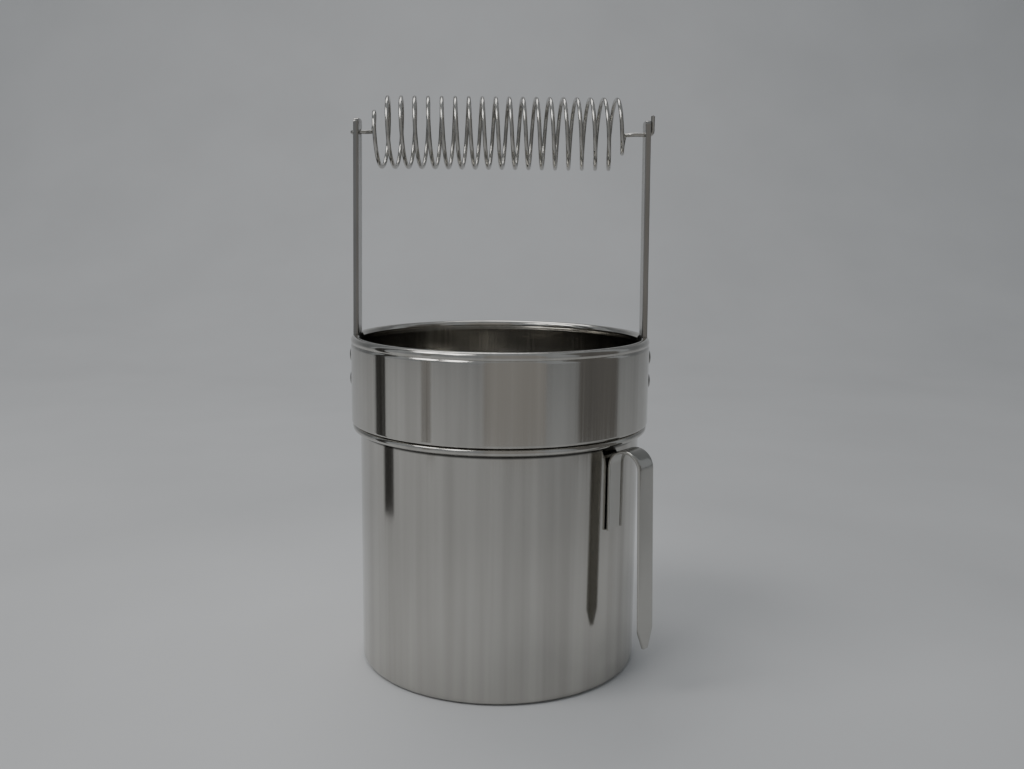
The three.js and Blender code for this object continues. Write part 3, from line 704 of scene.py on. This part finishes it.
def build_grip():
    """One wire: hook, tail, open turns whose ends close onto the axis, tail, hook."""
    high = node_box("grip_coil")[1]
    coil_r = high.z - GRIP_Z - GRIP_WIRE
    inner_x = ARM_OUTER - ARM_THICK - GRIP_LEAN
    left = GRIP_TAILS[0] - inner_x
    right = inner_x - GRIP_TAILS[1]
    hook_x = high.x - GRIP_WIRE
    per_turn = 64
    closing_steps = per_turn * 0.75
    points = []

    def bend(side, angles):
        for angle in angles:
            a = math.radians(angle)
            x = hook_x - GRIP_HOOK_BEND + GRIP_HOOK_BEND * math.sin(a)
            turned = GRIP_HOOK_BEND * (1 - math.cos(a))
            points.append((side * x, turned if side < 0 else 0, GRIP_Z + (turned if side > 0 else 0)))

    points.append((-hook_x, GRIP_HOOK, GRIP_Z))
    bend(-1, range(90, -1, -10))
    points.append((left - GRIP_TAILS[0] * 0.5, 0, GRIP_Z))
    steps = GRIP_TURNS * per_turn
    for i in range(steps + 1):
        closing = min(1.0, min(i, steps - i) / closing_steps)
        r = coil_r * math.sin(closing * math.pi / 2)
        a = 2 * math.pi * i / per_turn
        if r > GRIP_WIRE:
            x = left + (right - left) * i / steps
            points.append((x, r * math.cos(a), GRIP_Z + r * math.sin(a)))
    points.append((right + GRIP_TAILS[1] * 0.5, 0, GRIP_Z))
    bend(1, range(0, 91, 10))
    points.append((hook_x, 0, GRIP_Z + GRIP_HOOK))
    return tube("grip_coil_wire", points, GRIP_WIRE, 14)


finish_piece(build_inner_pot(), "inner_pot", "inner_pot", DRUM)
for arm_name, arm_side in (("left", -1), ("right", 1)):
    finish_piece(build_arm(arm_side, arm_name), f"bail_arm_{arm_name}", "inner_pot",
                 STRIP)
    for level in RIVET_DROPS:
        rivet_node = f"arm_rivet_{arm_name}_{level}"
        finish_piece(build_rivet(rivet_node + "_piece", rivet_node, "X"), rivet_node, "inner_pot",
                     STRIP)
finish_piece(build_grip(), "grip_coil", "grip", WIRE)


# ---------------------------------------------------------------- lid

lid_low, lid_high = node_box("lid")


def build_lid():
    edge = lid_high.x
    foot = edge - LID_BRIM
    z = lid_low.z
    half = SHEET / 2
    top = z + LID_RISE + half
    path = rounded([
        (0, top), (18, top), (foot - LID_SLOPE - 12, top), (foot - LID_SLOPE, top), (foot, z + half),
        (edge - half, z + half),
    ], 2.0)
    return lathe("lid_plate", sheet_outline(path, SHEET))


def build_saddle():
    low, high = node_box("ring_saddle")
    ring_low, ring_high = node_box("lid_ring")
    axis_z = (ring_low.z + ring_high.z) / 2
    outer = high.z - axis_z
    thick = 1.0
    mid = outer - thick / 2
    foot_z = low.z + thick / 2
    path = [(high.y - thick / 2, foot_z), (mid + 1.2, foot_z)]
    path += arc(mid + 0.6, foot_z + 0.6, 0.6, -90, -180)
    path += arc(0, axis_z, mid, 0, 180)
    path += arc(-mid - 0.6, foot_z + 0.6, 0.6, 0, -90)
    path += [(-mid - 1.2, foot_z), (-high.y + thick / 2, foot_z)]
    outline = sheet_outline(path, thick, round_start=True)
    return flat_piece("ring_saddle_strap", outline, [], high.x - low.x, 0.2, Matrix(YZ_TO_XY).to_4x4())


def build_ring():
    low, high = node_box("lid_ring")
    z = (low.z + high.z) / 2
    length = high.x - low.x - 2 * RING_WIRE
    reach = high.y - low.y - 2 * RING_WIRE
    corners = rounded_box(0, -reach / 2, length, reach, RING_CORNER)
    loop = []
    for a, b in zip(corners, corners[1:] + corners[:1]):
        gap = math.dist(a, b)
        if gap < 0.01:
            continue
        steps = max(1, round(gap / 3))
        loop += [(a[0] + (b[0] - a[0]) * i / steps, a[1] + (b[1] - a[1]) * i / steps, z)
                 for i in range(steps)]
    return tube("lid_ring_wire", loop, RING_WIRE, 20, closed=True)


finish_piece(build_lid(), "lid", "lid", LID_STEEL)
finish_piece(build_saddle(), "ring_saddle", "lid", STRIP)
for place_name in ("front", "rear"):
    rivet_node = f"saddle_rivet_{place_name}"
    finish_piece(build_rivet(rivet_node + "_piece", rivet_node, "Z"), rivet_node, "lid",
                 STRIP)
finish_piece(build_ring(), "lid_ring", "ring", WIRE)


# ---------------------------------------------------------------- burner stand and tray

def build_stand():
    low, high = node_box("burner_stand")
    half = SHEET / 2
    wall = high.x - half
    mouth = node_box("burner_cup")[1].x + STAND_SEAT
    seat = high.x - SHEET - STAND_SEAT
    path = rounded([
        (seat + half, low.z + half), (wall, low.z + half), (wall, (low.z + high.z) / 2),
        (wall, high.z - half), (mouth + half, high.z - half),
    ], 1.2)
    stand = lathe("burner_stand_shell", sheet_outline(path, SHEET, round_start=True), MEDIUM)
    cutters = []
    for radius, z in ((5.5, low.z + 14.5), (4.0, high.z - 13)):
        for angle in ring_of(8, 0.5):
            turn = Matrix.Rotation(angle, 4, "Z")
            lay = Matrix.Rotation(math.pi / 2, 4, "Y")
            cutters.append(bar(radius, high.x + 5, Matrix.Translation((0, 0, z)) @ turn @ lay))
    cut(stand, cutters)
    return stand


def build_tray():
    low, high = node_box("burner_tray")
    half = SHEET / 2
    collar = node_box("burner_cup")[1].x + 0.4
    base = [
        (0, low.z), (high.x - half, low.z), *arc(high.x - half, low.z + half, half, -90, 90),
        (collar + SHEET + 0.5, low.z + SHEET),
        *arc(collar + SHEET + 0.5, low.z + SHEET + 0.5, 0.5, -90, -180),
        (collar + SHEET, high.z - half), *arc(collar + half, high.z - half, half, 0, 180),
        (collar, low.z + SHEET), (0, low.z + SHEET),
    ]
    tray = lathe("burner_tray_plate", base, MEDIUM)
    hole_circle = (collar + SHEET + high.x + 0.5 - STAND_SEAT) / 2
    cut(tray, [
        bar(TRAY_HOLE_R, 5, Matrix.Translation((hole_circle * math.cos(a), hole_circle * math.sin(a),
                                                low.z - 2)))
        for a in ring_of(6)
    ])
    return tray


finish_piece(build_stand(), "burner_stand", "stand", LID_STEEL)
finish_piece(build_tray(), "burner_tray", "stand", LID_STEEL)


# ---------------------------------------------------------------- burner, cap and regulator

cup_low, cup_high = node_box("burner_cup")
ring_low, ring_high = node_box("burner_jet_ring")
NECK_R = ring_high.x


def build_cup():
    half = SHEET / 2
    wall = cup_high.x - half
    neck = NECK_R - half
    top = cup_high.z
    path = pot_floor(wall, cup_low.z + half)
    path += rounded([(wall, top - 20), (wall, top - 12), (neck, top - 7), (neck, top - half)], 2.0)
    return lathe("burner_cup_shell", sheet_outline(path, SHEET), MEDIUM)


def build_jet_ring():
    half = SHEET / 2
    wall = NECK_R - JET_BAND - half
    skirt = NECK_R - SHEET - GAP - half
    roof = ring_high.z - half
    path = rounded([
        (wall, ring_low.z + half), (wall, roof - 10), (wall, roof), (wall + 3, roof),
        (NECK_R - half, roof),
    ], 1.2)
    ring = lathe("burner_jet_ring_shell", sheet_outline(path, SHEET, round_start=True), MEDIUM)
    jet_circle = (NECK_R - JET_BAND + skirt - half) / 2
    cut(ring, [
        bar(JET_R, 4, Matrix.Translation((jet_circle * math.cos(a), jet_circle * math.sin(a), roof - 2)),
            16)
        for a in ring_of(JET_COUNT)
    ])
    return ring


def build_wick():
    low, high = node_box("burner_wick")
    inner = NECK_R - JET_BAND + 0.5
    corner = 1.0
    outline = []
    for x, z, start in ((inner, low.z, 180), (high.x, low.z, 270), (high.x, high.z, 0),
                        (inner, high.z, 90)):
        dx = corner if x == inner else -corner
        dz = corner if z == low.z else -corner
        outline += arc(x + dx, z + dz, corner, start, start + 90)
    return lathe("burner_wick_felt", outline, MEDIUM)


def build_cap():
    """A spun cap whose skirt is knurled all round for the fingers."""
    low, high = node_box("burner_cap")
    wall, top = 1.2, 1.0
    bore = high.x - wall
    flutes = 60
    sides = flutes * 6
    depth = 0.35
    profile = [(0, high.z - top), (bore, high.z - top), (bore, low.z)]
    outer = [(high.x - 0.3, low.z), (high.x, low.z + 0.3), (high.x, low.z + 1.2),
             (high.x, high.z - 2.6), (high.x, high.z - 1.8)]
    outer += arc(high.x - 1.0, high.z - 1.0, 1.0, 0, 90) + [(high.x - 2, high.z)]
    outer += [(high.x - 5, high.z), (high.x - 6, high.z - 0.25), (0, high.z - 0.25)]
    obj = lathe("burner_cap_shell", profile + outer, sides)
    for vert in obj.data.vertices:
        x, y, z = vert.co / MM
        r = math.hypot(x, y)
        if r > high.x - 0.05 and low.z + 1.0 < z < high.z - 2.4:
            dip = depth * (0.5 - 0.5 * math.cos(flutes * math.atan2(y, x)))
            scale = (r - dip) / r
            vert.co.x *= scale
            vert.co.y *= scale
    return obj


def build_gasket():
    low, high = node_box("cap_gasket")
    inner = high.x - 5
    edge = (high.z - low.z) / 2 * 0.8
    outline = (
        arc(high.x - edge, low.z + edge, edge, -90, 0) + arc(high.x - edge, high.z - edge, edge, 0, 90)
        + arc(inner + edge, high.z - edge, edge, 90, 180)
        + arc(inner + edge, low.z + edge, edge, 180, 270)
    )
    return lathe("cap_gasket_ring", outline, MEDIUM)


def build_regulator():
    low, high = node_box("regulator_body")
    half = SHEET / 2
    path = rounded([
        (14 + half, high.z - half), (20, high.z - half), (high.x - half, high.z - half),
        (high.x - half, high.z - 4), (high.x - half, low.z + half),
    ], 1.5)
    body = lathe("regulator_body_shell", sheet_outline(path, SHEET, round_start=True), MEDIUM)
    cut(body, [bar(PIVOT_HOLE_R, 4, Matrix.Translation((PIVOT_X, 0, high.z - 2)))])
    return body


def build_shutter():
    low, high = node_box("regulator_shutter")
    disc_r, ear_r = 16.5, 4.0
    tangent = math.degrees(math.acos((disc_r - ear_r) / PIVOT_X))
    tab_half = 3.5
    tab_angle = math.degrees(math.asin(tab_half / disc_r))
    outline = arc(0, 0, disc_r, tangent, 180 - tab_angle)
    outline += [(low.x + 2, tab_half), *arc(low.x + 2, tab_half - 2, 2, 90, 180)[1:]]
    outline += [*arc(low.x + 2, -tab_half + 2, 2, 180, 270)]
    outline += arc(0, 0, disc_r, 180 + tab_angle, 360 - tangent)
    outline += arc(PIVOT_X, 0, ear_r, -tangent, tangent)
    place = Matrix.Translation((0, 0, (low.z + high.z) / 2))
    return flat_piece("regulator_shutter_plate", outline, [circle(PIVOT_X, 0, PIVOT_HOLE_R)], SHEET,
                      0.15, place)


for builder, node, body, slot_name, material in (
    (build_cup, "burner_cup", "burner", "brass", BRASS),
    (build_jet_ring, "burner_jet_ring", "burner", "brass", BRASS),
    (build_wick, "burner_wick", "burner", "wick", FELT),
    (build_cap, "burner_cap", "cap", "brass", BRASS),
    (build_gasket, "cap_gasket", "cap", "gasket", GASKET),
    (build_regulator, "regulator_body", "regulator", "brass", BRASS),
    (build_shutter, "regulator_shutter", "shutter", "brass", BRASS),
):
    finish_piece(builder(), node, body, material)
finish_piece(build_rivet("regulator_pin_piece", "regulator_pin", "Z"), "regulator_pin", "regulator",
             BRASS)


# ---------------------------------------------------------------- floor, light and camera

def paper_material():
    material, tree, shader = new_material("pale_floor")
    mottle = noise_at(tree, 1.0, (6, 6, 6), 3.0)
    # The floor's colour falls off from the centre outwards: a painted pool of light around the stove.
    coords = add(tree, "ShaderNodeTexCoord")
    reach = add(tree, "ShaderNodeVectorMath", operation="LENGTH")
    tree.links.new(coords.outputs["Object"], reach.inputs[0])
    painted_shade_tone = spread(tree, reach.outputs["Value"], 1.0, 0.84, 0.14, 0.34)
    shade = add(tree, "ShaderNodeVectorMath", operation="SCALE")
    tree.links.new(tint(tree, mottle, (0.66, 0.66, 0.66), (0.70, 0.70, 0.70)), shade.inputs[0])
    tree.links.new(painted_shade_tone, shade.inputs["Scale"])
    tree.links.new(shade.outputs["Vector"], shader.inputs["Base Color"])
    shader.inputs["Roughness"].default_value = 0.9
    return material


def build_backdrop():
    """A floor that sweeps up into a wall far behind."""
    width, near, far, sweep, height = 4000, -3000, 900, 900, 2600
    line = [(near, 0), (-600, 0), (0, 0), (far, 0)]
    line += [(far + sweep * math.sin(math.radians(a)), sweep * (1 - math.cos(math.radians(a))))
             for a in range(6, 91, 6)]
    line += [(far + sweep, height)]
    verts = [(x, y, z) for y, z in line for x in (-width, width)]
    faces = [(2 * i, 2 * i + 1, 2 * i + 3, 2 * i + 2) for i in range(len(line) - 1)]
    obj = make_object("floor_sweep", verts, faces, 60)
    obj.data.materials.append(paper_material())


def reflection_card(name, azimuth, distance, width, height, glow):
    """A dim card that only shows in reflections, at an azimuth from -Y towards +X."""
    verts = [(-width / 2, 0, 0), (width / 2, 0, 0), (width / 2, 0, height), (-width / 2, 0, height)]
    a = math.radians(azimuth)
    place = Matrix.Translation((distance * math.sin(a), -distance * math.cos(a), 0))
    place = place @ Matrix.Rotation(a, 4, "Z")
    obj = make_object(name, [place @ Vector(v) for v in verts], [(0, 1, 2, 3)])
    material, _, shader = new_material(name + "_shade")
    shader.inputs["Base Color"].default_value = (0.0, 0.0, 0.0, 1)
    shader.inputs["Roughness"].default_value = 1.0
    shader.inputs["Specular IOR Level"].default_value = 0.0
    shader.inputs["Emission Color"].default_value = (1.0, 0.98, 0.95, 1)
    shader.inputs["Emission Strength"].default_value = glow
    obj.data.materials.append(material)
    obj.visible_camera = False
    obj.visible_shadow = False
    obj.visible_diffuse = False


def area_light(name, place, aim, size, power):
    """A soft rectangular light; places and sizes are in metres."""
    light = bpy.data.lights.new(name, "AREA")
    light.shape = "RECTANGLE"
    light.size, light.size_y = size
    light.energy = power
    obj = link(name, light)
    obj.location = place
    obj.rotation_euler = (Vector(aim) - Vector(place)).to_track_quat("-Z", "Y").to_euler()


def build_world():
    world = bpy.data.worlds.new("studio")
    world.use_nodes = True
    background = world.node_tree.nodes["Background"]
    background.inputs["Color"].default_value = (0.9, 0.95, 1.0, 1)
    background.inputs["Strength"].default_value = 0.34
    bpy.context.scene.world = world


def build_camera():
    """Level with the bail's middle, looking slightly down, as a person at a table does."""
    tilt, roll = math.radians(9.02), math.radians(0.59)
    data = bpy.data.cameras.new("camera")
    data.sensor_width = 36.0
    data.lens = 37.38
    data.clip_start = 0.01
    data.clip_end = 50.0
    camera = link("camera", data)
    turn = Matrix.Rotation(math.pi / 2 - tilt, 4, "X") @ Matrix.Rotation(roll, 4, "Z")
    camera.matrix_world = Matrix.Translation((0.0061, -0.5361, 0.2261)) @ turn
    bpy.context.scene.camera = camera


build_backdrop()
build_world()
build_camera()
reflection_card("card_side", -91, 345, 70, 700, 0.04)
reflection_card("card_left", -52, 590, 75, 900, 0.22)
reflection_card("card_front", 11, 590, 470, 900, 0.3)
reflection_card("card_right", 76, 590, 400, 900, 0.13)
area_light("key", (-0.8, -0.5, 1.3), (-0.05, 0.1, 0.05), (0.9, 0.6), 7)
area_light("top", (-0.3, 0.8, 1.7), (-0.15, 0.6, 0.1), (1.2, 0.8), 7)
